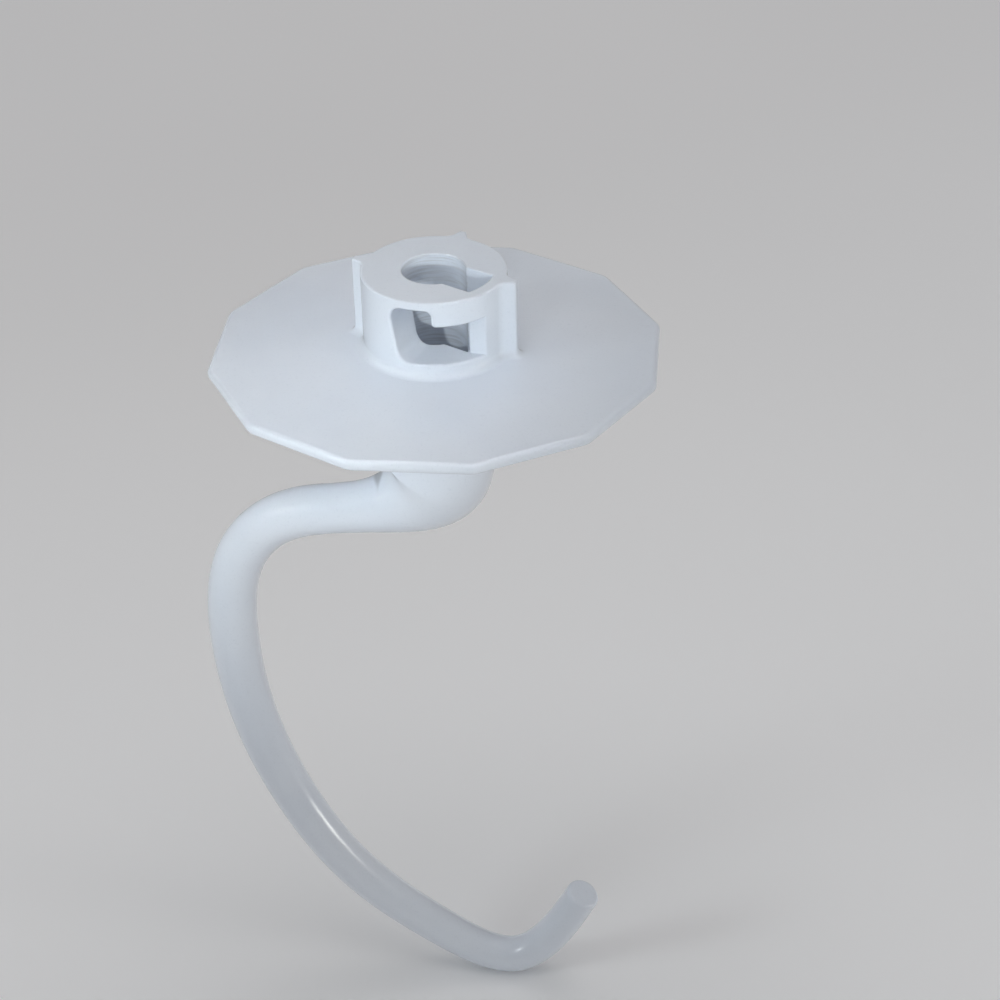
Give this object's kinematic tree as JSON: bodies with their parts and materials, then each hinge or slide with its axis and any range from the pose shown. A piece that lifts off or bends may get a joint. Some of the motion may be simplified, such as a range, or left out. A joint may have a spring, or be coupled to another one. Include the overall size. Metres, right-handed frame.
{
  "type": "stand mixer dough hook",
  "caption": "One-piece coated dough hook for a stand mixer: hub with a keyed bore and bayonet window, flat-sided splash plate, stout neck and a tapering C-shaped hook.",
  "frame": {"origin": "on the drive shaft's axis, at half the height of the splash plate's rim", "axes": "+Z along the shaft axis towards the machine; the bayonet window faces -Y and the arm of the hook leaves the neck towards -X"},
  "size_m": [0.0956, 0.0886, 0.1802],
  "materials": {
    "white_coat": "smooth glossy white coating over a casting"
  },
  "bodies": {
    "root": {"dough_hook": "white_coat"}
  },
  "joints": []
}
